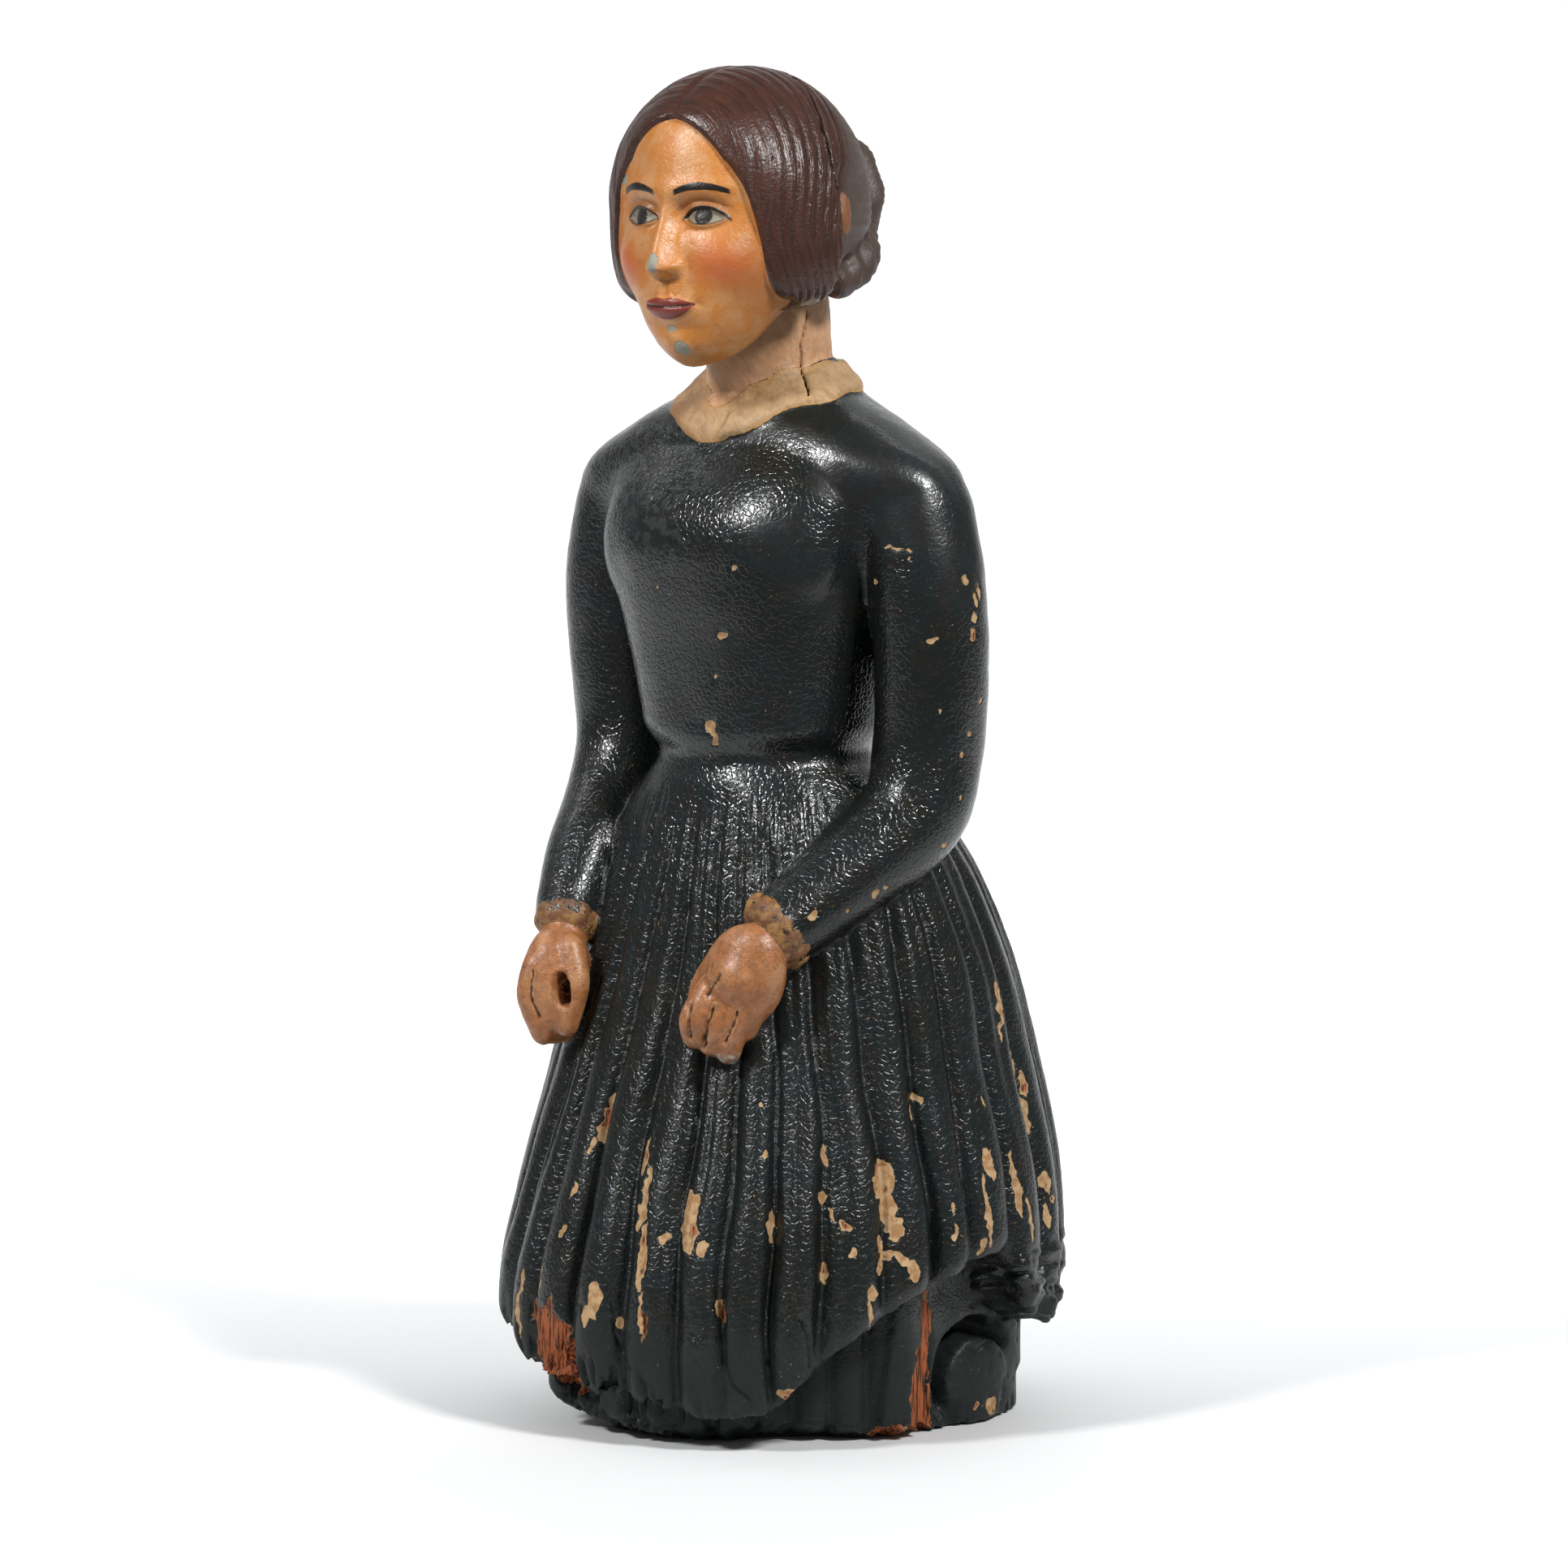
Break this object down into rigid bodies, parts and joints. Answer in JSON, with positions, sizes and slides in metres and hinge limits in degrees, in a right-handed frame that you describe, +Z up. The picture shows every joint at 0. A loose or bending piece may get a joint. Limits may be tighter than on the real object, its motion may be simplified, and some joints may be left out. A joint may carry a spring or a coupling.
{
  "type": "ship figurehead",
  "caption": "Carved standing lady in a close bodice and full pleated skirt, one solid on a flat-sawn draped base; stands by its own weight.",
  "frame": {"origin": "on the flat sawn underside of the base, below the middle of the skirt", "axes": "+Z up the figure, -Y the way she faces, +X towards her left hand"},
  "size_m": [0.2908, 0.2958, 0.6999],
  "materials": {
    "painted_wood": "old gloss oil paint, crazed and chipped"
  },
  "bodies": {
    "root": {"figurehead": "painted_wood"}
  },
  "joints": []
}
